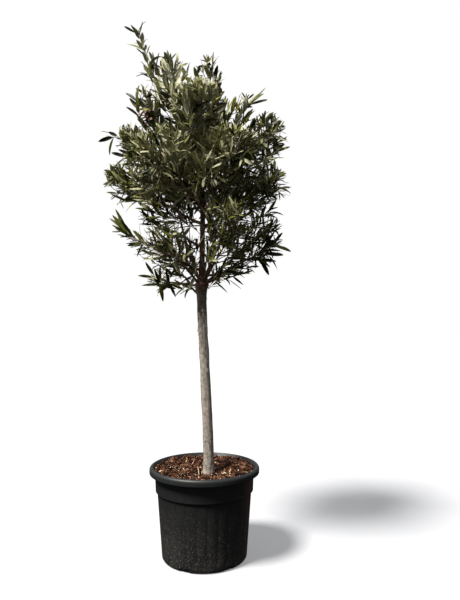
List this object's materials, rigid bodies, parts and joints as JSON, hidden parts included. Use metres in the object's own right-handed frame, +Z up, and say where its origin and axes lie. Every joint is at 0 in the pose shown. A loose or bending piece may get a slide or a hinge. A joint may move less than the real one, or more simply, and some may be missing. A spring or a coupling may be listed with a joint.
{
  "type": "potted olive tree",
  "caption": "Young olive tree grown as a standard: a slim clear stem, a full rounded crown of narrow grey-green leaves, in a black plastic nursery pot with a rolled lip.",
  "frame": {"origin": "centre of the pot's flat underside", "axes": "+Z up along the stem, -Y towards the front of the picture, +X to its right"},
  "size_m": [0.5293, 0.4487, 1.5753],
  "materials": {
    "pot": "black moulded polypropylene, satin at the lip and dusty on the wall",
    "soil": "coarse reddish-brown bark compost, rough and dry on top",
    "bark": "smooth pale grey-beige young olive bark, matte",
    "young_bark": "reddish-brown young bark, matte",
    "leaves": "leathery leaves, dark olive green above and silvery below, low satin gloss"
  },
  "bodies": {
    "root": {"pot": "pot", "soil": "soil", "trunk": "bark", "leader": "young_bark", "bough_spire": "young_bark", "bough_top_left": "young_bark", "bough_crest": "young_bark", "bough_top_right": "young_bark", "bough_left_top": "young_bark", "bough_right_upper": "young_bark", "bough_right_middle": "young_bark", "bough_left_upper": "young_bark", "bough_left_middle": "young_bark", "bough_front_upper": "young_bark", "bough_front_right": "young_bark", "bough_front_left": "young_bark", "bough_back_upper": "young_bark", "bough_back_left": "young_bark", "bough_back_right": "young_bark", "bough_right_low": "young_bark", "bough_left_low": "young_bark", "bough_left_inner": "young_bark", "bough_left_under": "young_bark", "bough_right_under": "young_bark", "bough_front_low": "young_bark", "bough_front_left_low": "young_bark", "bough_back_low": "young_bark", "bough_back_left_low": "young_bark", "foliage_spire": "leaves", "foliage_top_left": "leaves", "foliage_crest": "leaves", "foliage_top_right": "leaves", "foliage_left_top": "leaves", "foliage_right_upper": "leaves", "foliage_right_middle": "leaves", "foliage_left_upper": "leaves", "foliage_left_middle": "leaves", "foliage_front_upper": "leaves", "foliage_front_right": "leaves", "foliage_front_left": "leaves", "foliage_back_upper": "leaves", "foliage_back_left": "leaves", "foliage_back_right": "leaves", "foliage_right_low": "leaves", "foliage_left_low": "leaves", "foliage_left_inner": "leaves", "foliage_left_under": "leaves", "foliage_right_under": "leaves", "foliage_front_low": "leaves", "foliage_front_left_low": "leaves", "foliage_back_low": "leaves", "foliage_back_left_low": "leaves"}
  },
  "joints": []
}
